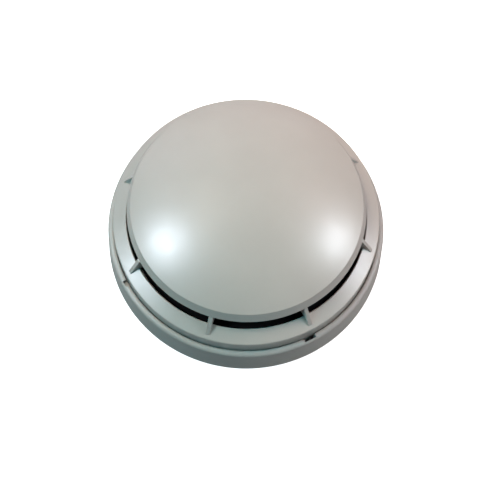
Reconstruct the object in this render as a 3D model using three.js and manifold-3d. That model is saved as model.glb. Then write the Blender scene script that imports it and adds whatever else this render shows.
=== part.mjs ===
// Ceiling heat detector: a round mounting base, and a domed head that twists into it.
// Millimetres and degrees. +Z points out of the dome, and z = 0 is the mounting face.
// Angles round the dome axis start at -Y and turn towards +X.

import * as THREE from 'three';
import { mergeVertices } from 'three/addons/utils/BufferGeometryUtils.js';
import Module from 'manifold-3d';

const wasm = await Module();
wasm.setup();

const TURN_STEPS = 48;
const GAP = 0.3;
const OVERLAP = 0.4;

// Mounting base
const BASE_RADIUS = 55;
const BASE_CHAMFER = 0.4;
const RIM_RADIUS = 53.7;
const RIM_INNER_RADIUS = 51.5;
const RIM_HEIGHT = 14.4;
const LEDGE_HEIGHT = 10.6;
const WALL_INNER_RADIUS = 51.2;
const FLOOR_TOP = 2.5;
const BACK_RECESS = { inner: 35, outer: 50, depth: 0.8 };
const WIRE_HOLE = { radius: 15, lipRadius: 16.6, lipTop: 4 };
const MOUNT_SLOT = { nearRadius: 25, farRadius: 31, width: 5.4 };
const MOUNT_SLOT_ANGLES = [90, 270];

// Twist lock between base and head
const LUG_ANGLES = [13, 103, 193, 283];
const TAB = { halfArc: 7, inner: 48.6, low: 8.2, high: 10 };
const LUG = { halfArc: 6, outer: 50.8, low: 5.9, high: 7.9 };
const TWIST_TRAVEL = 18;
const STOP = { play: 0.6, arc: 2.6, low: 5.4 };

// Tamper lever and its release slot, and the small alignment notch in the rim
const RELEASE_ANGLE = 21.3;
const RELEASE_SLOT = { width: 4.6, inner: 49, outer: 53, low: 2.8 };
const ALIGN_NOTCH = { angle: -66.8, width: 2.6, inner: 51.2, outer: 53, low: 12.6 };
const LEVER = { inner: 49.3, outer: 50.8, low: 4.2, high: 5.2, arc: 14.2 };
const LEVER_PAD = { halfArc: 1.3, outer: 52.3, high: 5.5 };
const LEVER_ROOT = { arc: 3, clearArc: 0.4 };

// Wiring terminals
const TERMINAL_ANGLES = [45, 135, 225, 315];
const TERMINAL_RADIUS = 37;
const PEDESTAL = { width: 12, depth: 9, top: 3.6 };
const SPRING_STRIP = { width: 6, thickness: 0.7, low: 3.9, tipX: 13.5, tipTop: 9.1 };
const CLAMP = { side: 7.4, low: 5, high: 5.9 };
const TERMINAL_SCREW = { radius: 1.4, headRadius: 3, headLow: 6.2, headHigh: 8.4, tip: 1.7 };
const TERMINAL_HOLE = 1.8;

// Chassis of the head
const CHASSIS = { floorLow: 10.6, floorHigh: 12.2, skirtInner: 46.6, skirtOuter: 48.2, skirtLow: 5 };
const FLANGE = { outer: 49.8, low: 11.4, high: 13 };
const BOARD = { radius: 43.5, low: 13.4, high: 15 };
const STANDOFF = { angles: [0, 90, 180, 270], distance: 38, radius: 2 };
const BLADE = { inner: 37, outer: 42, low: 9.4, high: 10.3, behind: 22, ahead: 4, pinRadius: 1 };
const PIN_HOLE = 1.4;
const PIN_TOP = 15.8;
const HEAD_SCREW = { angles: [90, 210, 330], distance: 24, radius: 1.3, headRadius: 2.8, tip: 24 };
const HEAD_SCREW_HEAD = { low: 8.5, high: 10.3 };
const HEAD_SCREW_HOLE = 1.8;

// Vented collar with its fins
const COLLAR = {
  outer: 51.1, bottom: 11, edgeRadius: 51.2, edgeHeight: 20.5, inner: 45.7, innerHeight: 23.7,
};
const COLLAR_WALL = 1.5;
const COLLAR_SKIRT_WALL = 1;
const COLLAR_SHOULDER = { inner: 48.8, low: 13.3, high: 14.8 };
const FIN = { count: 8, firstAngle: 22.5, thickness: 1.6, inner: 43.2, outer: 49.6, foot: 22.2 };

// Domed cap
const CAP = { rimRadius: 45.2, rimHeight: 29.1, creaseRadius: 43.5, creaseHeight: 33.1, top: 46.8 };
const CAP_WALL = 1.8;
const CAP_CURVE_STEPS = 7;
const CAP_POST = { radius: 3.2, bore: 1.7, boreTop: 27 };

// Black cage round the sensing space
const CAGE = { holeRadius: 5, outer: 45, floorLow: 20.4, floorHigh: 21.6 };
const CAGE_WALL = { inner: 40.4, outer: 41.8, top: 28.4 };
const CAGE_FOOT = { inner: 41.8, outer: 43.2 };
const CAGE_WINDOW = { count: 20, width: 7, low: 22.6, high: 27.4 };
const CAGE_POST_HOLE = 3.6;

// Parts on the circuit board
const PART_LOW = BOARD.high + GAP;
const LIGHT_PIPE = { angle: 0, distance: 37, radius: 1.2, low: 18.3, high: 27.2, hole: 1.6 };
const LED = { flange: 1.5, radius: 1.2, height: 1.4 };
const BEAD = { radius: 1.3, height: 26, leadSpread: 1.27, leadRadius: 0.35 };

const IVORY = { color: 0xc9c6be, roughness: 0.42, metalness: 0 };
const BASE_IVORY = { color: 0xbfbdb6, roughness: 0.48, metalness: 0 };
const BLACK = { color: 0x101010, roughness: 0.6, metalness: 0 };
const STEEL = { color: 0xb9bcc0, roughness: 0.3, metalness: 1 };
const TINNED = { color: 0xd6d4cc, roughness: 0.35, metalness: 1 };
const BRASS = { color: 0xc7a557, roughness: 0.35, metalness: 1 };
const BOARD_GREEN = { color: 0x1f5a35, roughness: 0.5, metalness: 0 };
const CHIP = { color: 0x1b1b1d, roughness: 0.55, metalness: 0 };
const CAN = { color: 0x9fa3a8, roughness: 0.35, metalness: 1 };
const CLEAR = { color: 0xe4e9ea, roughness: 0.08, metalness: 0 };
const RED_LENS = { color: 0xb3221c, roughness: 0.2, metalness: 0 };
const BEAD_EPOXY = { color: 0x22262b, roughness: 0.35, metalness: 0 };
const GLASS = { color: 0xb7d0c2, roughness: 0.08, metalness: 0 };

const radians = THREE.MathUtils.degToRad;

// Turns a closed geometry into a solid with its faces pointing out.
function solid(geometry) {
  const bare = geometry.clone();
  bare.deleteAttribute('normal');
  bare.deleteAttribute('uv');
  const merged = mergeVertices(bare, 1e-4);
  const places = merged.attributes.position.array;
  const triangles = [];
  for (let i = 0; i < merged.index.count; i += 3) {
    const [a, b, c] = merged.index.array.slice(i, i + 3);
    if (a !== b && b !== c && c !== a) triangles.push(a, b, c);
  }
  if (signedVolume(places, triangles) < 0) triangles.reverse();
  return new wasm.Manifold(new wasm.Mesh({
    numProp: 3,
    vertProperties: new Float32Array(places),
    triVerts: new Uint32Array(triangles),
  }));
}

function signedVolume(places, triangles) {
  const corner = (index) => new THREE.Vector3().fromArray(places, 3 * index);
  let total = 0;
  for (let i = 0; i < triangles.length; i += 3) {
    const [a, b, c] = [corner(triangles[i]), corner(triangles[i + 1]), corner(triangles[i + 2])];
    total += a.dot(b.cross(c)) / 6;
  }
  return total;
}

function union(first, ...others) {
  return others.reduce((whole, next) => whole.add(next), first);
}

function cut(first, ...others) {
  return others.reduce((rest, next) => rest.subtract(next), first);
}

// A body of revolution from [radius, height] points, closed on itself or on the axis.
function turned(outline) {
  const points = outline.map(([radius, height]) => new THREE.Vector2(radius, height));
  const onAxis = points[0].x === 0 && points[points.length - 1].x === 0;
  if (!onAxis) points.push(points[0].clone());
  const lathe = new THREE.LatheGeometry(points, TURN_STEPS);
  return solid(lathe.rotateX(Math.PI / 2));
}

function rod(radius, low, high, x = 0, y = 0, sides = 12) {
  const geometry = new THREE.CylinderGeometry(radius, radius, high - low, sides);
  geometry.rotateX(Math.PI / 2);
  return solid(geometry.translate(x, y, (low + high) / 2));
}

function block(width, depth, low, high, x = 0, y = 0) {
  const geometry = new THREE.BoxGeometry(width, depth, high - low);
  return solid(geometry.translate(x, y, (low + high) / 2));
}

// A piece of a flat ring between two radii, two heights and two angles.
function ringSector(inner, outer, low, high, from, to) {
  const [start, end] = [radians(from - 90), radians(to - 90)];
  const shape = new THREE.Shape();
  shape.absarc(0, 0, outer, start, end, false);
  shape.absarc(0, 0, inner, end, start, true);
  const options = { depth: high - low, bevelEnabled: false, curveSegments: 6 };
  return solid(new THREE.ExtrudeGeometry(shape, options).translate(0, 0, low));
}

// A plate standing in the plane through the axis, at angle 0, from [radius, height] points.
function radialPlate(outline, thickness) {
  const shape = new THREE.Shape(outline.map(([x, y]) => new THREE.Vector2(x, y)));
  const geometry = new THREE.ExtrudeGeometry(shape, { depth: thickness, bevelEnabled: false });
  const outwards = new THREE.Vector3(0, -1, 0);
  const up = new THREE.Vector3(0, 0, 1);
  const across = new THREE.Vector3(-1, 0, 0);
  geometry.applyMatrix4(new THREE.Matrix4().makeBasis(outwards, up, across));
  return solid(geometry.translate(thickness / 2, 0, 0));
}

// A strip bent along [x, z] points, lying across the radius at angle 0.
function bentStrip(centreline, thickness, nearRadius, width) {
  const points = centreline.map(([x, z]) => new THREE.Vector2(x, z));
  const sideways = points.map((point, i) => {
    const before = points[Math.max(i - 1, 0)];
    const after = points[Math.min(i + 1, points.length - 1)];
    const along = after.clone().sub(before).normalize();
    return new THREE.Vector2(-along.y, along.x).multiplyScalar(thickness / 2);
  });
  const upper = points.map((point, i) => point.clone().add(sideways[i]));
  const lower = points.map((point, i) => point.clone().sub(sideways[i])).reverse();
  const shape = new THREE.Shape([...lower, ...upper]);
  const geometry = new THREE.ExtrudeGeometry(shape, { depth: width, bevelEnabled: false });
  const along = new THREE.Vector3(1, 0, 0);
  const up = new THREE.Vector3(0, 0, 1);
  const outwards = new THREE.Vector3(0, -1, 0);
  geometry.applyMatrix4(new THREE.Matrix4().makeBasis(along, up, outwards));
  return solid(geometry.translate(0, -nearRadius, 0));
}

// The point at a distance from the axis and an angle round it.
function around(distance, angle) {
  return [distance * Math.sin(radians(angle)), -distance * Math.cos(radians(angle))];
}

function turnedBy(piece, angle) {
  return piece.rotate([0, 0, angle]);
}

function baseProfile() {
  const { inner, outer, depth } = BACK_RECESS;
  const { radius, lipRadius, lipTop } = WIRE_HOLE;
  return [
    [radius, 0], [inner, 0], [inner, depth], [outer, depth], [outer, 0],
    [BASE_RADIUS - BASE_CHAMFER, 0], [BASE_RADIUS, BASE_CHAMFER],
    [RIM_RADIUS, RIM_HEIGHT], [RIM_INNER_RADIUS, RIM_HEIGHT],
    [RIM_INNER_RADIUS, LEDGE_HEIGHT], [WALL_INNER_RADIUS, LEDGE_HEIGHT],
    [WALL_INNER_RADIUS, FLOOR_TOP], [lipRadius, FLOOR_TOP],
    [lipRadius, lipTop], [radius, lipTop],
  ];
}

// An overhanging tab, the stop behind it and the stop at the far end of the twist.
function bayonetCatch() {
  const outer = WALL_INNER_RADIUS + OVERLAP;
  const nearStop = -LUG.halfArc - STOP.play;
  const farStop = LUG.halfArc + TWIST_TRAVEL + STOP.play;
  return [
    ringSector(TAB.inner, outer, TAB.low, TAB.high, nearStop - OVERLAP, TAB.halfArc),
    ringSector(TAB.inner, outer, STOP.low, TAB.high, nearStop - STOP.arc, nearStop),
    ringSector(TAB.inner, outer, STOP.low, TAB.low, farStop, farStop + STOP.arc),
  ];
}

function mountingSlot() {
  const { nearRadius, farRadius, width } = MOUNT_SLOT;
  const [low, high] = [-1, FLOOR_TOP + 1];
  const length = farRadius - nearRadius;
  return union(
    block(width, length, low, high, 0, -(nearRadius + farRadius) / 2),
    rod(width / 2, low, high, 0, -nearRadius),
    rod(width / 2, low, high, 0, -farRadius),
  );
}

function rimNotch({ width, inner, outer, low }) {
  return block(width, outer - inner, low, RIM_HEIGHT + 1, 0, -(inner + outer) / 2);
}

function pedestal() {
  const foot = FLOOR_TOP - OVERLAP;
  return block(PEDESTAL.width, PEDESTAL.depth, foot, PEDESTAL.top, 0, -TERMINAL_RADIUS);
}

function basePlate() {
  const { radius, tip } = TERMINAL_SCREW;
  const hole = rod(radius + GAP, tip - GAP, PEDESTAL.top + 1, 0, -TERMINAL_RADIUS);
  const rootStart = RELEASE_ANGLE - LEVER_PAD.halfArc + LEVER.arc + LEVER_ROOT.clearArc;
  const rootEnd = rootStart + LEVER_ROOT.arc;
  const wall = WALL_INNER_RADIUS + OVERLAP;
  const foot = FLOOR_TOP - OVERLAP;
  const root = ringSector(LEVER.inner, wall, foot, LEVER.high, rootStart, rootEnd);
  const catches = LUG_ANGLES.flatMap((angle) => bayonetCatch().map((piece) => turnedBy(piece, angle)));
  const pedestals = TERMINAL_ANGLES.map((angle) => turnedBy(pedestal(), angle));
  const shell = union(turned(baseProfile()), root, ...catches, ...pedestals);
  return cut(
    shell,
    ...MOUNT_SLOT_ANGLES.map((angle) => turnedBy(mountingSlot(), angle)),
    ...TERMINAL_ANGLES.map((angle) => turnedBy(hole, angle)),
    turnedBy(rimNotch(RELEASE_SLOT), RELEASE_ANGLE),
    turnedBy(rimNotch(ALIGN_NOTCH), ALIGN_NOTCH.angle),
  );
}

function tamperLever() {
  const start = RELEASE_ANGLE - LEVER_PAD.halfArc;
  const end = RELEASE_ANGLE + LEVER_PAD.halfArc;
  return union(
    ringSector(LEVER.inner, LEVER.outer, LEVER.low, LEVER.high, start, start + LEVER.arc),
    ringSector(LEVER.inner, LEVER_PAD.outer, LEVER.low, LEVER_PAD.high, start, end),
  );
}

// Strip under the terminal screw, rising to a sprung tip that rubs on the head's blade.
function contactSpring() {
  const { width, thickness, low, tipX, tipTop } = SPRING_STRIP;
  const flat = low + thickness / 2;
  const crest = tipTop - thickness / 2;
  const centreline = [
    [-5, flat], [5.6, flat], [tipX - 2.2, crest - 0.7],
    [tipX - 0.8, crest], [tipX + 0.6, crest], [tipX + 1.8, crest - 0.8],
  ];
  const strip = bentStrip(centreline, thickness, TERMINAL_RADIUS - width / 2, width);
  return cut(strip, rod(TERMINAL_HOLE, 0, CLAMP.low, 0, -TERMINAL_RADIUS));
}

function terminalClamp() {
  const plate = block(CLAMP.side, CLAMP.side, CLAMP.low, CLAMP.high, 0, -TERMINAL_RADIUS);
  return cut(plate, rod(TERMINAL_HOLE, 0, CLAMP.high + 1, 0, -TERMINAL_RADIUS));
}

function terminalScrew() {
  const { radius, headRadius, headLow, headHigh, tip } = TERMINAL_SCREW;
  const y = -TERMINAL_RADIUS;
  const body = union(rod(radius, tip, headLow + OVERLAP, 0, y), rod(headRadius, headLow, headHigh, 0, y));
  return cut(body, block(2 * headRadius + 1, 0.9, headHigh - 1, headHigh + 1, 0, y));
}

function chassis() {
  const { floorLow, floorHigh, skirtInner, skirtOuter, skirtLow } = CHASSIS;
  const body = turned([
    [0, floorLow], [skirtInner, floorLow], [skirtInner, skirtLow], [skirtOuter, skirtLow],
    [skirtOuter, FLANGE.low], [FLANGE.outer, FLANGE.low], [FLANGE.outer, FLANGE.high],
    [skirtInner, FLANGE.high], [skirtInner, floorHigh], [0, floorHigh],
  ]);
  const lug = ringSector(skirtOuter - OVERLAP, LUG.outer, LUG.low, LUG.high, -LUG.halfArc, LUG.halfArc);
  const post = rod(STANDOFF.radius, floorHigh - OVERLAP, BOARD.low - GAP, 0, -STANDOFF.distance);
  const whole = union(
    body,
    ...LUG_ANGLES.map((angle) => turnedBy(lug, angle)),
    ...STANDOFF.angles.map((angle) => turnedBy(post, angle)),
  );
  return cut(whole, ...throughHoles(floorLow - 1, floorHigh + 1));
}

// The holes that the head screws and the blade pins share in chassis and board.
function throughHoles(low, high) {
  const screwHole = rod(HEAD_SCREW_HOLE, low, high, 0, -HEAD_SCREW.distance);
  return [
    ...HEAD_SCREW.angles.map((angle) => turnedBy(screwHole, angle)),
    ...TERMINAL_ANGLES.map((angle) => rod(PIN_HOLE, low, high, ...pinPlace(angle))),
  ];
}

// The angle of a contact spring's tip, measured from its terminal screw.
const TIP_ANGLE = THREE.MathUtils.radToDeg(Math.atan(SPRING_STRIP.tipX / TERMINAL_RADIUS));

function bladeSpan() {
  return [TIP_ANGLE - BLADE.behind, TIP_ANGLE + BLADE.ahead];
}

function pinPlace(angle) {
  const [from, to] = bladeSpan();
  return around((BLADE.inner + BLADE.outer) / 2, angle + (from + to) / 2);
}

// A curved blade under the chassis with a pin up to the board.
function contactBlade() {
  return union(
    ringSector(BLADE.inner, BLADE.outer, BLADE.low, BLADE.high, ...bladeSpan()),
    rod(BLADE.pinRadius, BLADE.high - OVERLAP, PIN_TOP, ...pinPlace(0)),
  );
}

function headScrew() {
  const { radius, headRadius, tip, distance } = HEAD_SCREW;
  const { low, high } = HEAD_SCREW_HEAD;
  const y = -distance;
  const body = union(rod(radius, high - OVERLAP, tip, 0, y), rod(headRadius, low, high, 0, y));
  const [narrow, long] = [0.8, 3.6];
  const groove = (width, depth) => block(width, depth, low - 1, low + 1, 0, y);
  return cut(body, groove(narrow, long), groove(long, narrow));
}

function circuitBoard() {
  const { radius, low, high } = BOARD;
  const disc = turned([[0, low], [radius, low], [radius, high], [0, high]]);
  return cut(disc, ...throughHoles(low - 1, high + 1));
}

// A thin buttress from the collar's sloping top up to the cap's rim, at angle 0.
function fin() {
  const top = CAP.rimHeight - GAP;
  const slope = (COLLAR.innerHeight - COLLAR.edgeHeight) / (COLLAR.edgeRadius - COLLAR.inner);
  const toe = COLLAR.innerHeight - slope * (FIN.outer - COLLAR.inner);
  const depth = COLLAR_WALL / 2;
  return radialPlate([
    [FIN.inner, FIN.foot], [COLLAR.inner + GAP, FIN.foot], [FIN.outer, toe - depth],
    [FIN.outer, toe + GAP], [CAP.rimRadius, top], [FIN.inner, top],
  ], FIN.thickness);
}

function ventedCollar() {
  const { outer, bottom, edgeRadius, edgeHeight, inner, innerHeight } = COLLAR;
  const [wallLow, wallHigh] = [outer - COLLAR_SKIRT_WALL, edgeRadius - COLLAR_WALL];
  const ring = turned([
    [wallLow, bottom], [outer, bottom], [edgeRadius, edgeHeight - GAP], [edgeRadius - GAP, edgeHeight],
    [inner, innerHeight], [inner, innerHeight - COLLAR_WALL], [wallHigh, edgeHeight - COLLAR_WALL],
    [wallLow, COLLAR_SHOULDER.high], [COLLAR_SHOULDER.inner, COLLAR_SHOULDER.high],
    [COLLAR_SHOULDER.inner, COLLAR_SHOULDER.low], [wallLow, COLLAR_SHOULDER.low],
  ]);
  const step = 360 / FIN.count;
  const fins = Array.from({ length: FIN.count }, (_, i) => turnedBy(fin(), FIN.firstAngle + i * step));
  return union(ring, ...fins);
}

// Points of a shallow dome, from its top on the axis down to its edge.
function domeCurve(edgeRadius, edgeHeight, top) {
  const rise = top - edgeHeight;
  const sphere = (edgeRadius ** 2 + rise ** 2) / (2 * rise);
  return Array.from({ length: CAP_CURVE_STEPS + 1 }, (_, i) => {
    const radius = edgeRadius * i / CAP_CURVE_STEPS;
    return [radius, top - sphere + Math.sqrt(sphere ** 2 - radius ** 2)];
  });
}

function domeCap() {
  const { rimRadius, rimHeight, creaseRadius, creaseHeight, top } = CAP;
  const outside = domeCurve(creaseRadius, creaseHeight, top);
  const inside = domeCurve(creaseRadius - CAP_WALL, creaseHeight - GAP, top - CAP_WALL);
  const rim = [[rimRadius, rimHeight], [rimRadius - CAP_WALL, rimHeight]];
  const shell = turned([...outside, ...rim, ...inside.reverse()]);
  const { radius, bore, boreTop } = CAP_POST;
  const y = -HEAD_SCREW.distance;
  const post = cut(rod(radius, PART_LOW, top, 0, y), rod(bore, PART_LOW - 1, boreTop, 0, y));
  const underSkin = domeCurve(creaseRadius - OVERLAP, creaseHeight, top - OVERLAP);
  const space = turned([...underSkin, [creaseRadius - OVERLAP, 0], [0, 0]]);
  const trimmed = post.intersect(space);
  return union(shell, ...HEAD_SCREW.angles.map((angle) => turnedBy(trimmed, angle)));
}

function sensorCage() {
  const { holeRadius, outer, floorLow, floorHigh } = CAGE;
  const body = turned([
    [holeRadius, floorLow], [CAGE_FOOT.inner, floorLow], [CAGE_FOOT.inner, PART_LOW],
    [CAGE_FOOT.outer, PART_LOW], [CAGE_FOOT.outer, floorLow], [outer, floorLow], [outer, floorHigh],
    [CAGE_WALL.outer, floorHigh], [CAGE_WALL.outer, CAGE_WALL.top], [CAGE_WALL.inner, CAGE_WALL.top],
    [CAGE_WALL.inner, floorHigh], [holeRadius, floorHigh],
  ]);
  const { count, width, low, high } = CAGE_WINDOW;
  const middle = (CAGE_WALL.inner + CAGE_WALL.outer) / 2;
  const window = block(width, 4, low, high, 0, -middle);
  const postHole = rod(CAGE_POST_HOLE, floorLow - 1, floorHigh + 1, 0, -HEAD_SCREW.distance);
  return cut(
    body,
    ...Array.from({ length: count }, (_, i) => turnedBy(window, i * 360 / count)),
    ...HEAD_SCREW.angles.map((angle) => turnedBy(postHole, angle)),
    rod(LIGHT_PIPE.hole, floorLow - 1, floorHigh + 1, ...around(LIGHT_PIPE.distance, LIGHT_PIPE.angle)),
  );
}

// A bead on two leads, standing on the board.
function thermistor(beadHeight) {
  const ball = solid(new THREE.SphereGeometry(BEAD.radius, 10, 7).scale(1.3, 0.8, 1.2));
  const leadTop = beadHeight + 0.2;
  const lead = (side) => rod(BEAD.leadRadius, PART_LOW, leadTop, side * BEAD.leadSpread, 0, 8);
  return union(ball.translate([0, 0, beadHeight]), lead(-1), lead(1));
}

function alarmLed() {
  const { flange, radius, height } = LED;
  const shoulder = PART_LOW + height;
  const lens = solid(new THREE.SphereGeometry(radius, 12, 8)).translate([0, 0, shoulder]);
  return union(rod(flange, PART_LOW, PART_LOW + 0.6), rod(radius, PART_LOW, shoulder), lens);
}

// A flat moulded chip with rows of legs along two sides.
function chip(width, depth, height, legsPerSide) {
  const top = PART_LOW + height;
  const legs = [];
  for (let i = 0; i < legsPerSide; i += 1) {
    const y = depth * ((i + 0.5) / legsPerSide - 0.5);
    legs.push(block(width + 2, 0.45, PART_LOW, PART_LOW + 0.5, 0, y));
  }
  return union(block(width, depth, PART_LOW, top), ...legs);
}

function capacitorCan() {
  return union(block(6.2, 6.2, PART_LOW, PART_LOW + 0.6), rod(2.9, PART_LOW, CAGE.floorLow - GAP));
}

function reedSwitch() {
  const height = PART_LOW + 1.2;
  const tube = solid(new THREE.CapsuleGeometry(1.05, 9, 4, 10)).translate([0, 0, height]);
  const wire = solid(new THREE.CylinderGeometry(0.3, 0.3, 15, 8)).translate([0, 0, height]);
  return union(tube, wire);
}

function mesh(name, piece, look, [x, y] = [0, 0], angle = 0) {
  const shape = piece.getMesh();
  const geometry = new THREE.BufferGeometry();
  geometry.setAttribute('position', new THREE.BufferAttribute(shape.vertProperties, 3));
  geometry.setIndex(new THREE.BufferAttribute(shape.triVerts, 1));
  geometry.computeVertexNormals();
  const part = new THREE.Mesh(geometry, new THREE.MeshStandardMaterial({ ...look, flatShading: true }));
  part.name = name;
  part.position.set(x, y, 0);
  part.rotation.z = radians(angle);
  return part;
}

// Copies of one piece, numbered from 1, turned round the dome axis to each angle.
function ringOf(name, piece, look, angles) {
  return angles.map((angle, i) => mesh(`${name}_${i + 1}`, piece, look, [0, 0], angle));
}

const base = new THREE.Group();
base.add(
  mesh('base_plate', basePlate(), BASE_IVORY),
  ...ringOf('contact_spring', contactSpring(), STEEL, TERMINAL_ANGLES),
  ...ringOf('terminal_clamp', terminalClamp(), TINNED, TERMINAL_ANGLES),
  ...ringOf('terminal_screw', terminalScrew(), STEEL, TERMINAL_ANGLES),
);

const tamperLock = new THREE.Group();
tamperLock.add(mesh('tamper_lever', tamperLever(), BASE_IVORY));

const boardParts = new THREE.Group();
boardParts.add(
  mesh('circuit_board', circuitBoard(), BOARD_GREEN),
  mesh('sensing_thermistor', thermistor(BEAD.height), BEAD_EPOXY),
  mesh('reference_thermistor', thermistor(PART_LOW + 1.8), BEAD_EPOXY, [-13, 8]),
  mesh('alarm_led', alarmLed(), RED_LENS, around(LIGHT_PIPE.distance, LIGHT_PIPE.angle)),
  mesh('microcontroller', chip(8, 9, 1.6, 7), CHIP, [12, 12]),
  mesh('bridge_rectifier', chip(5, 5, 2.2, 2), CHIP, [-26, -14]),
  mesh('surge_suppressor', chip(5.4, 3.8, 2.2, 1), CHIP, [-27, -24]),
  mesh('output_transistor', chip(5.6, 6.4, 2, 2), CHIP, [24, -20]),
  mesh('storage_capacitor_1', capacitorCan(), CAN, [2, 26]),
  mesh('storage_capacitor_2', capacitorCan(), CAN, [11, 29]),
  mesh('reed_switch', reedSwitch(), GLASS, [-30, 6]),
);

const head = new THREE.Group();
const pipePlace = around(LIGHT_PIPE.distance, LIGHT_PIPE.angle);
head.add(
  boardParts,
  mesh('chassis', chassis(), BASE_IVORY),
  ...ringOf('contact_blade', contactBlade(), BRASS, TERMINAL_ANGLES),
  ...ringOf('head_screw', headScrew(), STEEL, HEAD_SCREW.angles),
  mesh('sensor_cage', sensorCage(), BLACK),
  mesh('light_pipe', rod(LIGHT_PIPE.radius, LIGHT_PIPE.low, LIGHT_PIPE.high), CLEAR, pipePlace),
  mesh('vented_collar', ventedCollar(), IVORY),
  mesh('dome_cap', domeCap(), IVORY),
);

const group = new THREE.Group();
group.add(base, tamperLock, head);

export default group;
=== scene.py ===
"""Looks of the ceiling heat detector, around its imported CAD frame. Metres, +Z out of the dome."""

import math

import bmesh
import bpy
from mathutils import Matrix, Vector


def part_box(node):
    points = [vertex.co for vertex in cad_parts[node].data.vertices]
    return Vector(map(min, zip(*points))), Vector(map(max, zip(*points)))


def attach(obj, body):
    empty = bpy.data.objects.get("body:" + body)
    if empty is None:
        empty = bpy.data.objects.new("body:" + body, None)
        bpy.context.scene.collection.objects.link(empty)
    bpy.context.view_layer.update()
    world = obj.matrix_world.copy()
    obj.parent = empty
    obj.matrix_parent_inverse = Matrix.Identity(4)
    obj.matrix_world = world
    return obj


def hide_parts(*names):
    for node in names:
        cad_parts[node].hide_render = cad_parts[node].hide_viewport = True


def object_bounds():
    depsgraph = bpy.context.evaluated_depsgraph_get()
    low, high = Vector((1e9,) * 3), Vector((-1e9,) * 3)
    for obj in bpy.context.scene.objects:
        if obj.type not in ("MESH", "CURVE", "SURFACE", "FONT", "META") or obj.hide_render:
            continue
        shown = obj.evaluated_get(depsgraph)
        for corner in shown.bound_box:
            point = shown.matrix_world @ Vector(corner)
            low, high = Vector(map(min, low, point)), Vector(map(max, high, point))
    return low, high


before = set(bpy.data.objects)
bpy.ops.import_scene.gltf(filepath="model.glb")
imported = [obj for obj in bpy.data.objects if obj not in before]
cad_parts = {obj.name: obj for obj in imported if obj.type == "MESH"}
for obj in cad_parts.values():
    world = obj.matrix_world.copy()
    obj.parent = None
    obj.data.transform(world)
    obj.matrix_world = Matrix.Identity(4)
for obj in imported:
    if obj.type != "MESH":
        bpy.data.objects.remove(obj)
cad_low, cad_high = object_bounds()

MM = 0.001
TURN_STEPS = 240
FILLET_STEPS = 5
DOME_STEPS = 28

# Angles round the dome axis, in degrees, from -Y towards +X, as the CAD has them.
FIN_ANGLES = [22.5 + 45 * i for i in range(8)]
LUG_ANGLES = [13 + 90 * i for i in range(4)]
TERMINAL_ANGLES = [45 + 90 * i for i in range(4)]
SCREW_ANGLES = [90, 210, 330]
RELEASE_ANGLE = 21.3
ALIGN_ANGLE = -66.8


def high(node):
    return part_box(node)[1]


def low(node):
    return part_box(node)[0]


# Sizes that the frame gives
BASE_RADIUS = high("base_plate").x
RIM_HEIGHT = high("base_plate").z
COLLAR_RADIUS = high("vented_collar").x
COLLAR_BOTTOM = low("vented_collar").z
FIN_TOP = high("vented_collar").z
CAP_RADIUS = high("dome_cap").x
CAP_TOP = high("dome_cap").z
POST_BOTTOM = low("dome_cap").z
CAGE_RADIUS = high("sensor_cage").x
CAGE_TOP = high("sensor_cage").z
CAGE_BOTTOM = low("sensor_cage").z

# Sizes of the moulding, worked out from those
RIM_RADIUS = BASE_RADIUS - 1.3 * MM
RIM_INNER = BASE_RADIUS - 3.5 * MM
WALL_INNER = BASE_RADIUS - 3.8 * MM
LEDGE_HEIGHT = RIM_HEIGHT - 3.8 * MM
FLOOR_TOP = 2.5 * MM
COLLAR_EDGE = COLLAR_BOTTOM + 9.5 * MM
SKIRT_RADIUS = COLLAR_RADIUS - 0.1 * MM
SKIRT_WALL = 1.0 * MM
COLLAR_LIP = COLLAR_EDGE + 3.2 * MM
COLLAR_INNER = COLLAR_RADIUS - 5.5 * MM
COLLAR_WALL = 1.5 * MM
WALL = 1.8 * MM
CAP_RIM = FIN_TOP + 0.3 * MM
CREASE_HEIGHT = CAP_RIM + 4.0 * MM
CREASE_RADIUS = CAP_RADIUS - 1.7 * MM
SCREW_DISTANCE = 24 * MM
TERMINAL_DISTANCE = 37 * MM


# ---------------------------------------------------------------- camera

CAMERA_AZIMUTH = -7.75
CAMERA_ELEVATION = 68.26
CAMERA_DISTANCE = 0.3934
CAMERA_LENS = 70.09
CAMERA_ROLL = 2.16
AIM_RIGHT = 1.72 * MM
AIM_UP = -5.67 * MM


def make_camera():
    """A camera above the dome, turned a little about its own line of sight."""
    azimuth, elevation, roll = (
        math.radians(angle) for angle in (CAMERA_AZIMUTH, CAMERA_ELEVATION, CAMERA_ROLL)
    )
    back = Vector((
        math.sin(azimuth) * math.cos(elevation),
        -math.cos(azimuth) * math.cos(elevation),
        math.sin(elevation),
    ))
    level = Vector((math.cos(azimuth), math.sin(azimuth), 0))
    upright = back.cross(level)
    right = level * math.cos(roll) + upright * math.sin(roll)
    up = upright * math.cos(roll) - level * math.sin(roll)
    place = back * CAMERA_DISTANCE
    aim = right * AIM_RIGHT + up * AIM_UP
    behind = (place - aim).normalized()
    side = (right - behind * right.dot(behind)).normalized()
    data = bpy.data.cameras.new("camera")
    data.lens = CAMERA_LENS
    data.sensor_width = 36
    data.clip_start = 0.01
    camera = bpy.data.objects.new("camera", data)
    bpy.context.scene.collection.objects.link(camera)
    turn = Matrix((side, behind.cross(side), behind)).transposed().to_4x4()
    camera.matrix_world = Matrix.Translation(place) @ turn
    bpy.context.scene.camera = camera


# ---------------------------------------------------------------- materials

def new_material(name):
    material = bpy.data.materials.new(name)
    material.use_nodes = True
    tree = material.node_tree
    return material, tree, tree.nodes["Principled BSDF"]


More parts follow.
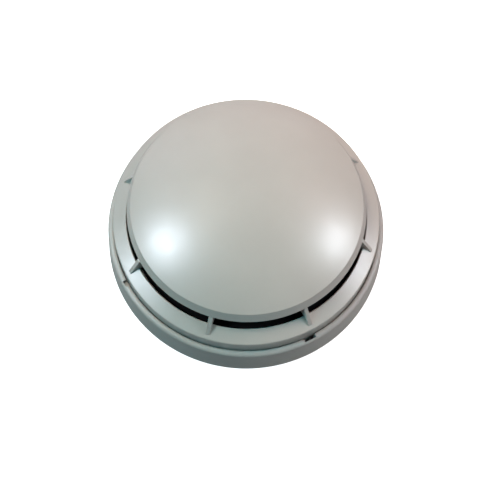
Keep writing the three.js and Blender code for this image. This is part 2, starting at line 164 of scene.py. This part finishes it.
def object_noise(tree, scale, detail=2.0, roughness=0.5, stretch=(1, 1, 1)):
    """A noise texture fixed to the piece, scale in features per metre."""
    place = tree.nodes.new("ShaderNodeTexCoord")
    mapping = tree.nodes.new("ShaderNodeMapping")
    mapping.inputs["Scale"].default_value = stretch
    noise = tree.nodes.new("ShaderNodeTexNoise")
    noise.inputs["Scale"].default_value = scale
    noise.inputs["Detail"].default_value = detail
    noise.inputs["Roughness"].default_value = roughness
    tree.links.new(place.outputs["Object"], mapping.inputs["Vector"])
    tree.links.new(mapping.outputs["Vector"], noise.inputs["Vector"])
    return noise.outputs["Fac"]


def ramp(tree, factor, stops):
    """Maps a 0 to 1 value through colours or greys at given places."""
    node = tree.nodes.new("ShaderNodeValToRGB")
    elements = node.color_ramp.elements
    while len(elements) < len(stops):
        elements.new(0.5)
    for element, (place, colour) in zip(elements, stops):
        element.position = place
        element.color = (*colour, 1)
    tree.links.new(factor, node.inputs["Fac"])
    return node.outputs["Color"]


def grey(value):
    return (value, value, value)


def bump(tree, shader, layers):
    """Stacks bump layers, each a height and a depth in metres, on one shader."""
    last = None
    for height, depth in layers:
        node = tree.nodes.new("ShaderNodeBump")
        node.inputs["Distance"].default_value = depth
        tree.links.new(height, node.inputs["Height"])
        if last:
            tree.links.new(last, node.inputs["Normal"])
        last = node.outputs["Normal"]
    tree.links.new(last, shader.inputs["Normal"])


def shaded(colour, factor):
    return tuple(channel * factor for channel in colour)


def moulded_plastic(name, colour, rough, grain=0.00002, cloud=0.03, gloss=0.5):
    """Injection-moulded plastic: fine spark-eroded grain, faint clouding, slow sink waves."""
    cloud_scale, grain_scale, polish_scale, wave_scale = 45, 2600, 160, 60
    polish_range, wave_depth = 0.03, 0.00004
    material, tree, shader = new_material(name)
    clouds = object_noise(tree, cloud_scale, 3)
    tone = ramp(tree, clouds, [(0.3, shaded(colour, 1 - cloud)), (0.7, shaded(colour, 1 + cloud))])
    tree.links.new(tone, shader.inputs["Base Color"])
    fine = object_noise(tree, grain_scale, 3, 0.6)
    stops = [(0.3, grey(rough - polish_range)), (0.7, grey(rough + polish_range))]
    polish = ramp(tree, object_noise(tree, polish_scale, 4), stops)
    tree.links.new(polish, shader.inputs["Roughness"])
    shader.inputs["Specular IOR Level"].default_value = gloss
    bump(tree, shader, [(object_noise(tree, wave_scale, 1), wave_depth), (fine, grain)])
    return material


def metal(name, colour, rough, stretch=(1, 1, 12), scratch=0.00001):
    """Drawn or plated metal with fine lines along one direction."""
    material, tree, shader = new_material(name)
    lines = object_noise(tree, 900, 4, 0.6, stretch)
    tone = ramp(tree, lines, [(0.35, shaded(colour, 0.88)), (0.65, colour)])
    tree.links.new(tone, shader.inputs["Base Color"])
    polish = ramp(tree, object_noise(tree, 300, 3), [(0.3, grey(rough - 0.06)), (0.7, grey(rough + 0.08))])
    tree.links.new(polish, shader.inputs["Roughness"])
    shader.inputs["Metallic"].default_value = 1
    bump(tree, shader, [(lines, scratch)])
    return material


def board_laminate(name):
    """Solder mask over tracks: a woven ground with lighter copper lines in a grid."""
    material, tree, shader = new_material(name)
    place = tree.nodes.new("ShaderNodeTexCoord")
    tracks = tree.nodes.new("ShaderNodeTexBrick")
    tracks.inputs["Scale"].default_value = 260
    tracks.inputs["Mortar Size"].default_value = 0.03
    tracks.inputs["Color1"].default_value = (0.012, 0.085, 0.03, 1)
    tracks.inputs["Color2"].default_value = (0.014, 0.1, 0.036, 1)
    tracks.inputs["Mortar"].default_value = (0.05, 0.2, 0.08, 1)
    tree.links.new(place.outputs["Object"], tracks.inputs["Vector"])
    tree.links.new(tracks.outputs["Color"], shader.inputs["Base Color"])
    polish = ramp(tree, object_noise(tree, 700, 3), [(0.3, grey(0.3)), (0.7, grey(0.42))])
    tree.links.new(polish, shader.inputs["Roughness"])
    bump(tree, shader, [(tracks.outputs["Fac"], 0.00003)])
    return material


def clear_material(name, colour, rough, strength=1.0, refraction=1.5):
    """Clear plastic or glass with faint flow lines."""
    material, tree, shader = new_material(name)
    flow = object_noise(tree, 400, 2, 0.5, (1, 1, 0.2))
    tone = ramp(tree, flow, [(0.3, shaded(colour, 0.94)), (0.7, colour)])
    tree.links.new(tone, shader.inputs["Base Color"])
    shader.inputs["Roughness"].default_value = rough
    shader.inputs["Transmission Weight"].default_value = strength
    shader.inputs["IOR"].default_value = refraction
    bump(tree, shader, [(flow, 0.000005)])
    return material


CAP_COLOUR = (0.56, 0.545, 0.515)
BASE_COLOUR = (0.53, 0.52, 0.495)

CAP_PLASTIC = moulded_plastic("cap_plastic", CAP_COLOUR, 0.39)
BASE_PLASTIC = moulded_plastic("base_plastic", BASE_COLOUR, 0.48, 0.00003, gloss=0.35)
# Black moulding for the sensor cage, partly real black plastic and partly painted shade: it is set darker
# than plain black plastic so the slit round the cap stays as black as deep shade
BLACK_PLASTIC_AND_SLIT_SHADE = moulded_plastic("black_plastic_and_slit_shade", (0.0015, 0.0015, 0.0018), 0.65, 0.00003, 0.1, 0.05)
CHIP_PLASTIC = moulded_plastic("chip_plastic", (0.02, 0.02, 0.022), 0.5, 0.00004, 0.1)
SPRING_STEEL = metal("spring_steel", (0.62, 0.63, 0.64), 0.28)
ZINC_STEEL = metal("zinc_steel", (0.58, 0.59, 0.57), 0.32, (1, 1, 1))
TINNED_PLATE = metal("tinned_plate", (0.7, 0.69, 0.66), 0.36, (1, 12, 1))
BRASS = metal("contact_brass", (0.62, 0.45, 0.18), 0.3, (12, 1, 1))
CAN_METAL = metal("can_metal", (0.55, 0.56, 0.58), 0.34, (1, 1, 0.1))
BOARD = board_laminate("board_laminate")
RED_LENS = clear_material("red_lens", (0.75, 0.03, 0.02), 0.12, 0.5)
PIPE_CLEAR = clear_material("pipe_clear", (0.92, 0.94, 0.94), 0.05, 1.0, 1.58)
REED_GLASS = clear_material("reed_glass", (0.62, 0.8, 0.68), 0.05, 0.8)
EPOXY = moulded_plastic("bead_epoxy", (0.03, 0.035, 0.04), 0.25, 0.00002, 0.15)

NODE_LOOKS = {
    "tamper_lever": BASE_PLASTIC,
    "circuit_board": BOARD,
    "sensing_thermistor": EPOXY,
    "reference_thermistor": EPOXY,
    "alarm_led": RED_LENS,
    "light_pipe": PIPE_CLEAR,
    "microcontroller": CHIP_PLASTIC,
    "bridge_rectifier": CHIP_PLASTIC,
    "surge_suppressor": CHIP_PLASTIC,
    "output_transistor": CHIP_PLASTIC,
    "storage_capacitor": CAN_METAL,
    "reed_switch": REED_GLASS,
    "contact_spring": SPRING_STEEL,
    "terminal_clamp": TINNED_PLATE,
    "terminal_screw": ZINC_STEEL,
    "contact_blade": BRASS,
    "head_screw": ZINC_STEEL,
    "chassis": BASE_PLASTIC,
}


# ---------------------------------------------------------------- mesh helpers

def rounded(outline, closed=True):
    """A path of (radius, height) points, from (radius, height, fillet) corners that get rounded."""
    points = [Vector((radius, height)) for radius, height, _ in outline]
    path = []
    for i, (corner, (_, _, fillet)) in enumerate(zip(points, outline)):
        at_end = not closed and i in (0, len(points) - 1)
        if fillet <= 0 or at_end:
            path.append(corner)
            continue
        before = (points[i - 1] - corner).normalized()
        after = (points[(i + 1) % len(points)] - corner).normalized()
        half = before.angle(after) / 2
        reach = fillet / math.tan(half)
        centre = corner + (before + after).normalized() * (fillet / math.sin(half))
        start = corner + before * reach - centre
        end = corner + after * reach - centre
        sweep = start.angle_signed(end)
        for step in range(FILLET_STEPS + 1):
            angle = -sweep * step / FILLET_STEPS
            spin = Matrix.Rotation(angle, 2)
            path.append(centre + spin @ start)
    return path


def add_object(name, bm, material):
    mesh = bpy.data.meshes.new(name)
    bmesh.ops.recalc_face_normals(bm, faces=bm.faces)
    bm.to_mesh(mesh)
    bm.free()
    mesh.materials.append(material)
    piece = bpy.data.objects.new(name, mesh)
    bpy.context.scene.collection.objects.link(piece)
    return piece


def lathe(name, path, material, steps=TURN_STEPS):
    """A body of revolution from a path of (radius, height) points, closed or ending on the axis."""
    bm = bmesh.new()
    rings = []
    for point in path:
        if point[0] < 1e-7:
            rings.append([bm.verts.new((0, 0, point[1]))])
            continue
        ring = []
        for step in range(steps):
            angle = 2 * math.pi * step / steps
            ring.append(bm.verts.new((point[0] * math.sin(angle), -point[0] * math.cos(angle), point[1])))
        rings.append(ring)
    on_axis = len(rings[0]) == 1 and len(rings[-1]) == 1
    pairs = list(zip(rings, rings[1:])) + ([] if on_axis else [(rings[-1], rings[0])])
    for first, second in pairs:
        for step in range(steps):
            following = (step + 1) % steps
            if len(first) == 1:
                bm.faces.new((first[0], second[step], second[following]))
            elif len(second) == 1:
                bm.faces.new((first[step], second[0], first[following]))
            else:
                bm.faces.new((first[step], second[step], second[following], first[following]))
    return add_object(name, bm, material)


def prism(name, outline, low_z, high_z, material):
    """An upright prism over an outline of (x, y) points."""
    bm = bmesh.new()
    bottom = bm.faces.new([bm.verts.new((x, y, low_z)) for x, y in outline])
    made = bmesh.ops.extrude_face_region(bm, geom=[bottom])
    lifted = [item for item in made["geom"] if isinstance(item, bmesh.types.BMVert)]
    bmesh.ops.translate(bm, verts=lifted, vec=(0, 0, high_z - low_z))
    return add_object(name, bm, material)


def box_outline(width, depth, x=0.0, y=0.0):
    return [(x - width / 2, y - depth / 2), (x + width / 2, y - depth / 2),
            (x + width / 2, y + depth / 2), (x - width / 2, y + depth / 2)]


def disc_outline(radius, x=0.0, y=0.0, sides=32):
    turns = [2 * math.pi * i / sides for i in range(sides)]
    return [(x + radius * math.cos(a), y + radius * math.sin(a)) for a in turns]


def slot_outline(width, near, far, sides=16):
    """A stadium along -Y, from near to far."""
    half = width / 2
    ends = []
    for i in range(sides + 1):
        angle = math.pi * i / sides
        ends.append((half * math.cos(angle), -near + half * math.sin(angle)))
    for i in range(sides + 1):
        angle = math.pi + math.pi * i / sides
        ends.append((half * math.cos(angle), -far + half * math.sin(angle)))
    return ends


def sector_outline(inner, outer, start, end, steps=10):
    """A piece of a ring between two angles, in degrees from -Y towards +X."""
    def arc(radius, angles):
        return [(radius * math.sin(math.radians(a)), -radius * math.cos(math.radians(a))) for a in angles]
    angles = [start + (end - start) * i / steps for i in range(steps + 1)]
    return arc(outer, angles) + arc(inner, angles[::-1])


def turn(piece, angle):
    piece.data.transform(Matrix.Rotation(math.radians(angle), 4, "Z"))
    return piece


def copies(make, angles):
    return [turn(make(), angle) for angle in angles]


def combine(piece, others, operation):
    """Joins the other pieces to this one, or cuts them out of it, and removes them."""
    for other in others:
        modifier = piece.modifiers.new("combine", "BOOLEAN")
        modifier.operation = operation
        modifier.solver = "EXACT"
        modifier.object = other
    bpy.context.view_layer.update()
    evaluated = piece.evaluated_get(bpy.context.evaluated_depsgraph_get())
    mesh = bpy.data.meshes.new_from_object(evaluated)
    piece.modifiers.clear()
    piece.data = mesh
    for other in others:
        bpy.data.objects.remove(other)
    return piece


def smooth(piece, angle=35):
    """Smooth shading that keeps edges sharper than angle."""
    mesh = piece.data
    mesh.shade_smooth()
    mesh.set_sharp_from_angle(angle=math.radians(angle))
    weighted = piece.modifiers.new("weighted", "WEIGHTED_NORMAL")
    weighted.keep_sharp = True
    weighted.weight = 60
    return piece


def place(piece, body, slot, *nodes):
    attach(piece, body)
    if nodes:
        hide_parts(*nodes)
    return piece


# ---------------------------------------------------------------- base

# How far an added piece is sunk into the moulding that it joins, and a cut goes past it
SUNK = 0.4 * MM
CUT_PAST = 1 * MM

# Bayonet tabs, their stops and the root of the release tongue: heights, and arcs in degrees
TAB_LOW, TAB_TOP = 8.2 * MM, 10 * MM
STOP_LOW, FAR_STOP_TOP = 5.4 * MM, 8.3 * MM
LEVER_ROOT_TOP = 5.2 * MM
PEDESTAL_TOP = 3.6 * MM
TAB_ARC = (-6.7, 7)
STOP_ARC = (-9.2, -6.6)
FAR_STOP_ARC = (24.6, 27.2)
LEVER_ROOT_ARC = (13.3, 16.3)

# Openings in the base: width, depth, distance from the axis and lowest point, or slot width and ends
RELEASE_SLOT = (4.6 * MM, 4 * MM, 51 * MM, 2.8 * MM)
ALIGN_NOTCH = (2.6 * MM, 1.8 * MM, 52.1 * MM, 12.6 * MM)
MOUNT_SLOT = (5.4 * MM, 25 * MM, 31 * MM)
MOUNT_SLOT_ANGLES = [90, 270]
SCREW_HOLE_RADIUS = 1.7 * MM
SCREW_HOLE_LOW = 1.4 * MM


def base_outline():
    recess_inner, recess_outer, recess = 35 * MM, 50 * MM, 0.8 * MM
    hole, lip, lip_top = 15 * MM, 16.6 * MM, 4 * MM
    return rounded([
        (hole, 0, 0.5 * MM), (recess_inner, 0, 0.2 * MM), (recess_inner, recess, 0.2 * MM),
        (recess_outer, recess, 0.2 * MM), (recess_outer, 0, 0.2 * MM),
        (BASE_RADIUS, 0, 0.5 * MM), (RIM_RADIUS, RIM_HEIGHT, 1.6 * MM),
        (RIM_INNER, RIM_HEIGHT, 0.65 * MM), (RIM_INNER, LEDGE_HEIGHT, 0.2 * MM),
        (WALL_INNER, LEDGE_HEIGHT, 0.2 * MM), (WALL_INNER, FLOOR_TOP, 0.5 * MM),
        (lip, FLOOR_TOP, 0.3 * MM), (lip, lip_top, 0.3 * MM), (hole, lip_top, 0.3 * MM),
    ])


def make_base():
    plastic = BASE_PLASTIC
    base = lathe("base_moulding", base_outline(), plastic)
    tab_inner, lever_inner, wall = 48.6 * MM, 49.3 * MM, WALL_INNER + SUNK
    under = FLOOR_TOP - SUNK

    def sector(name, bottom, top, start, end, inner=tab_inner):
        return lambda: prism(name, sector_outline(inner, wall, start, end), bottom, top, plastic)

    def pedestal():
        outline = box_outline(12 * MM, 9 * MM, 0, -TERMINAL_DISTANCE)
        return prism("pedestal", outline, under, PEDESTAL_TOP, plastic)

    additions = copies(sector("tab", TAB_LOW, TAB_TOP, *TAB_ARC), LUG_ANGLES)
    additions += copies(sector("stop", STOP_LOW, TAB_TOP, *STOP_ARC), LUG_ANGLES)
    additions += copies(sector("far_stop", STOP_LOW, FAR_STOP_TOP, *FAR_STOP_ARC), LUG_ANGLES)
    additions += copies(pedestal, TERMINAL_ANGLES)
    lever_root = sector("lever_root", under, LEVER_ROOT_TOP, *LEVER_ROOT_ARC, lever_inner)
    additions += copies(lever_root, [RELEASE_ANGLE])
    combine(base, additions, "UNION")

    def mount_slot():
        return prism("mount_slot", slot_outline(*MOUNT_SLOT), -CUT_PAST, 4 * MM, plastic)

    def screw_hole():
        outline = disc_outline(SCREW_HOLE_RADIUS, 0, -TERMINAL_DISTANCE)
        return prism("screw_hole", outline, SCREW_HOLE_LOW, 5 * MM, plastic)

    def rim_cut(name, width, depth, distance, bottom):
        outline = box_outline(width, depth, 0, -distance)
        return lambda: prism(name, outline, bottom, RIM_HEIGHT + CUT_PAST, plastic)

    cuts = copies(mount_slot, MOUNT_SLOT_ANGLES) + copies(screw_hole, TERMINAL_ANGLES)
    cuts += copies(rim_cut("release_slot", *RELEASE_SLOT), [RELEASE_ANGLE])
    cuts += copies(rim_cut("align_notch", *ALIGN_NOTCH), [ALIGN_ANGLE])
    combine(base, cuts, "DIFFERENCE")
    place(smooth(base), "base", "ivory_base", "base_plate")


# ---------------------------------------------------------------- head

def fin():
    """A thin buttress from the collar's sloping top up to the cap's rim, standing along -Y."""
    inner, foot, toe = 43.2 * MM, COLLAR_LIP - 1.4 * MM, 49.6 * MM
    thickness, edge = 1.6 * MM, 0.22 * MM
    slope = (COLLAR_LIP - COLLAR_EDGE) / (COLLAR_RADIUS - COLLAR_INNER)
    toe_height = COLLAR_LIP - slope * (toe - COLLAR_INNER)
    outline = [
        (inner, foot), (COLLAR_INNER + 0.3 * MM, foot), (toe, toe_height - COLLAR_WALL / 2),
        (toe, toe_height + 0.3 * MM), (CAP_RADIUS, FIN_TOP), (inner, FIN_TOP),
    ]
    bm = bmesh.new()
    side = bm.faces.new([bm.verts.new((-thickness / 2, -radius, height)) for radius, height in outline])
    made = bmesh.ops.extrude_face_region(bm, geom=[side])
    moved = [item for item in made["geom"] if isinstance(item, bmesh.types.BMVert)]
    bmesh.ops.translate(bm, verts=moved, vec=(thickness, 0, 0))
    bmesh.ops.bevel(bm, geom=bm.edges[:], offset=edge, segments=3, affect="EDGES", profile=0.5)
    return add_object("fin", bm, CAP_PLASTIC)


def make_collar():
    wall_low, wall_high = SKIRT_RADIUS - SKIRT_WALL, COLLAR_RADIUS - COLLAR_WALL
    shoulder, shoulder_low, shoulder_high = 48.8 * MM, 13.3 * MM, 14.8 * MM
    outline = rounded([
        (wall_low, COLLAR_BOTTOM, 0.2 * MM), (SKIRT_RADIUS, COLLAR_BOTTOM, 0.2 * MM),
        (COLLAR_RADIUS, COLLAR_EDGE, 0.8 * MM), (COLLAR_INNER, COLLAR_LIP, 0.35 * MM),
        (COLLAR_INNER, COLLAR_LIP - COLLAR_WALL, 0.3 * MM),
        (wall_high, COLLAR_EDGE - COLLAR_WALL, 0.4 * MM),
        (wall_low, shoulder_high, 0.1 * MM), (shoulder, shoulder_high, 0.2 * MM),
        (shoulder, shoulder_low, 0.2 * MM), (wall_low, shoulder_low, 0.1 * MM),
    ])
    collar = lathe("collar_moulding", outline, CAP_PLASTIC)
    combine(collar, copies(fin, FIN_ANGLES), "UNION")
    place(smooth(collar), "head", "ivory_cap", "vented_collar")


def dome_height(radius, edge_radius, edge_height, top):
    rise = top - edge_height
    sphere = (edge_radius ** 2 + rise ** 2) / (2 * rise)
    return top - sphere + math.sqrt(sphere ** 2 - radius ** 2)


def dome_points(edge_radius, edge_height, top, count):
    radii = [edge_radius * i / count for i in range(count)]
    return [(radius, dome_height(radius, edge_radius, edge_height, top), 0) for radius in radii]


def make_cap():
    post_radius, post_top, bore_radius, bore_top = 3.2 * MM, 41.2 * MM, 1.7 * MM, 27 * MM
    outside = dome_points(CREASE_RADIUS, CREASE_HEIGHT, CAP_TOP, DOME_STEPS)
    inner_edge, inner_height = CREASE_RADIUS - WALL, CREASE_HEIGHT - 0.3 * MM
    inside = dome_points(inner_edge, inner_height, CAP_TOP - WALL, DOME_STEPS // 2)
    corners = [
        (CREASE_RADIUS, CREASE_HEIGHT, 0.5 * MM), (CAP_RADIUS, CAP_RIM, 0.3 * MM),
        (CAP_RADIUS - WALL, CAP_RIM, 0.2 * MM), (inner_edge, inner_height, 0.4 * MM),
    ]
    cap = lathe("cap_moulding", rounded(outside + corners + inside[::-1], closed=False), CAP_PLASTIC)

    def post():
        outline = disc_outline(post_radius, 0, -SCREW_DISTANCE)
        return prism("post", outline, POST_BOTTOM, post_top, CAP_PLASTIC)

    def bore():
        outline = disc_outline(bore_radius, 0, -SCREW_DISTANCE)
        return prism("bore", outline, POST_BOTTOM - CUT_PAST, bore_top, CAP_PLASTIC)

    combine(cap, copies(post, SCREW_ANGLES), "UNION")
    combine(cap, copies(bore, SCREW_ANGLES), "DIFFERENCE")
    place(smooth(cap), "head", "ivory_cap", "dome_cap")


def make_cage():
    floor_low, floor_high = 20.4 * MM, 21.6 * MM
    cut_low, cut_high = 19.8 * MM, 22.2 * MM
    inner, outer = 40.4 * MM, 41.8 * MM
    foot_inner, foot_outer, hole = 41.8 * MM, 43.2 * MM, 5 * MM
    window_count, window_width, window_depth = 20, 7 * MM, 4 * MM
    window_low, window_high, window_distance = 22.6 * MM, 27.4 * MM, 41.1 * MM
    post_hole_radius, pipe_hole_radius, pipe_distance = 3.6 * MM, 1.6 * MM, 37 * MM
    outline = rounded([
        (hole, floor_low, 0.2 * MM), (foot_inner, floor_low, 0.2 * MM), (foot_inner, CAGE_BOTTOM, 0.2 * MM),
        (foot_outer, CAGE_BOTTOM, 0.2 * MM), (foot_outer, floor_low, 0.2 * MM),
        (CAGE_RADIUS, floor_low, 0.3 * MM), (CAGE_RADIUS, floor_high, 0.3 * MM),
        (outer, floor_high, 0.3 * MM), (outer, CAGE_TOP, 0.4 * MM), (inner, CAGE_TOP, 0.4 * MM),
        (inner, floor_high, 0.3 * MM), (hole, floor_high, 0.3 * MM),
    ])
    # The cage's near-black plastic is painted shade for the dark seen through the slit, over a real black
    # moulding
    cage = lathe("cage_moulding", outline, BLACK_PLASTIC_AND_SLIT_SHADE)

    def window():
        outline = box_outline(window_width, window_depth, 0, -window_distance)
        return prism("window", outline, window_low, window_high, BLACK_PLASTIC_AND_SLIT_SHADE)

    def post_hole():
        outline = disc_outline(post_hole_radius, 0, -SCREW_DISTANCE)
        return prism("post_hole", outline, cut_low, cut_high, BLACK_PLASTIC_AND_SLIT_SHADE)

    def pipe_hole():
        outline = disc_outline(pipe_hole_radius, 0, -pipe_distance)
        return prism("pipe_hole", outline, cut_low, cut_high, BLACK_PLASTIC_AND_SLIT_SHADE)

    window_angles = [360 / window_count * i for i in range(window_count)]
    cuts = copies(window, window_angles) + copies(post_hole, SCREW_ANGLES) + [pipe_hole()]
    combine(cage, cuts, "DIFFERENCE")
    place(smooth(cage), "head", "black_moulding", "sensor_cage")


EDGE_ROUNDING = 0.08 * MM
EDGE_ANGLE = 40


def dress_cad_nodes():
    """Gives each CAD node that stays its material and slightly rounded edges."""
    for name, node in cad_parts.items():
        if node.hide_render:
            continue
        family = name.rstrip("0123456789").rstrip("_")
        node.data.materials.clear()
        node.data.materials.append(NODE_LOOKS[family])
        edges = node.modifiers.new("edges", "BEVEL")
        edges.width = EDGE_ROUNDING
        edges.segments = 2
        edges.limit_method = "ANGLE"
        edges.angle_limit = math.radians(EDGE_ANGLE)


# ---------------------------------------------------------------- stage and light

FLOOR_GLOW = 1.0
FLOOR_RADIUS = 2.0
FLOOR_SIDES = 64
FLOOR_DROP = 0.2 * MM
COVE_RADIUS = 1.5
COVE_STEPS = 12
COVE_STEP_ANGLE = 7

# The light that the floor and the sky give, and the heights of direction between which it fades
FLOOR_LIGHT = (0.25, 0.235, 0.235)
SKY_LIGHT = (0.01, 0.01, 0.01)
FADE_START = 0.12
FADE_END = 0.4

PANEL_SIZE = 0.42
GLARE_SIZE = 0.24
PANEL_AIM_HEIGHT = 0.03

# Azimuth from -Y towards +X and elevation in degrees, then red, green and blue watts
SOFT_PANELS = {
    "back_right": (108, 42, (3.6, 2.25, 2.1)),
    "back_left": (216, 18, (3.2, 2.9, 3.3)),
    "high_left": (240, 65, (4.8, 4.1, 3.4)),
    "left": (284, 42, (0.1, 1.9, 2.3)),
    "right": (76, 42, (2.6, 3.3, 3.4)),
}
GLARE_PANELS = {
    "left_glare": (-90, 40, (14.8, 16.4, 18.3)),
    "right_glare": (83, 33, (9.5, 10.1, 10.8)),
}


def make_floor():
    """A wide pale floor that curves up into a backdrop, and throws no light of its own on the head."""
    material, tree, shader = new_material("floor")
    tone = ramp(tree, object_noise(tree, 6, 2), [(0.3, grey(0.9)), (0.7, grey(0.92))])
    tree.links.new(tone, shader.inputs["Base Color"])
    shader.inputs["Roughness"].default_value = 0.9
    shader.inputs["Emission Color"].default_value = (1, 1, 1, 1)
    shader.inputs["Emission Strength"].default_value = FLOOR_GLOW
    ground = cad_low.z - FLOOR_DROP
    path = [(FLOOR_RADIUS, ground)]
    for step in range(1, COVE_STEPS + 1):
        angle = math.radians(COVE_STEP_ANGLE * step)
        out, up = COVE_RADIUS * math.sin(angle), COVE_RADIUS * (1 - math.cos(angle))
        path.append((FLOOR_RADIUS + out, ground + up))
    turns = [2 * math.pi * i / FLOOR_SIDES for i in range(FLOOR_SIDES)]
    bm = bmesh.new()
    rings = [[bm.verts.new((0, 0, ground))]]
    for radius, height in path:
        rings.append([bm.verts.new((radius * math.sin(a), -radius * math.cos(a), height)) for a in turns])
    for first, second in zip(rings, rings[1:]):
        for i in range(FLOOR_SIDES):
            j = (i + 1) % FLOOR_SIDES
            inner = [first[0]] if len(first) == 1 else [first[i], first[j]]
            bm.faces.new(inner + [second[j], second[i]])
    floor = add_object("floor", bm, material)
    floor.visible_diffuse = False
    floor.visible_glossy = False
    floor.visible_shadow = False


def panel(name, azimuth, elevation, size, watts):
    """A round soft panel a metre away, that faces the head; watts are red, green and blue."""
    data = bpy.data.lights.new(name, "AREA")
    data.shape = "DISK"
    data.size = size
    data.energy = max(watts)
    data.color = [channel / max(watts) for channel in watts]
    lamp = bpy.data.objects.new(name, data)
    turned, raised = math.radians(azimuth), math.radians(elevation)
    towards = Vector((
        math.sin(turned) * math.cos(raised), -math.cos(turned) * math.cos(raised), math.sin(raised),
    ))
    lamp.location = Vector((0, 0, PANEL_AIM_HEIGHT)) + towards
    lamp.rotation_mode = "QUATERNION"
    lamp.rotation_quaternion = towards.to_track_quat("Z", "Y")
    bpy.context.scene.collection.objects.link(lamp)
    return lamp


def make_world():
    """Pale light from the floor's side, and next to none from straight above."""
    world = bpy.data.worlds.new("studio")
    world.use_nodes = True
    tree = world.node_tree
    sky = tree.nodes["Background"]
    place = tree.nodes.new("ShaderNodeTexCoord")
    parts = tree.nodes.new("ShaderNodeSeparateXYZ")
    tree.links.new(place.outputs["Generated"], parts.inputs["Vector"])
    stops = [(0.0, FLOOR_LIGHT), (FADE_START, FLOOR_LIGHT), (FADE_END, SKY_LIGHT)]
    tree.links.new(ramp(tree, parts.outputs["Z"], stops), sky.inputs["Color"])
    sky.inputs["Strength"].default_value = 1
    bpy.context.scene.world = world


def make_light():
    """Soft panels that only brighten the surfaces, and two that only make the gloss shine."""
    make_world()
    for name, (azimuth, elevation, watts) in SOFT_PANELS.items():
        panel(name, azimuth, elevation, PANEL_SIZE, watts).visible_glossy = False
    for name, (azimuth, elevation, watts) in GLARE_PANELS.items():
        panel(name, azimuth, elevation, GLARE_SIZE, watts).visible_diffuse = False
    bpy.context.scene.view_settings.view_transform = "Standard"


make_camera()
make_base()
make_collar()
make_cap()
make_cage()
dress_cad_nodes()
make_floor()
make_light()
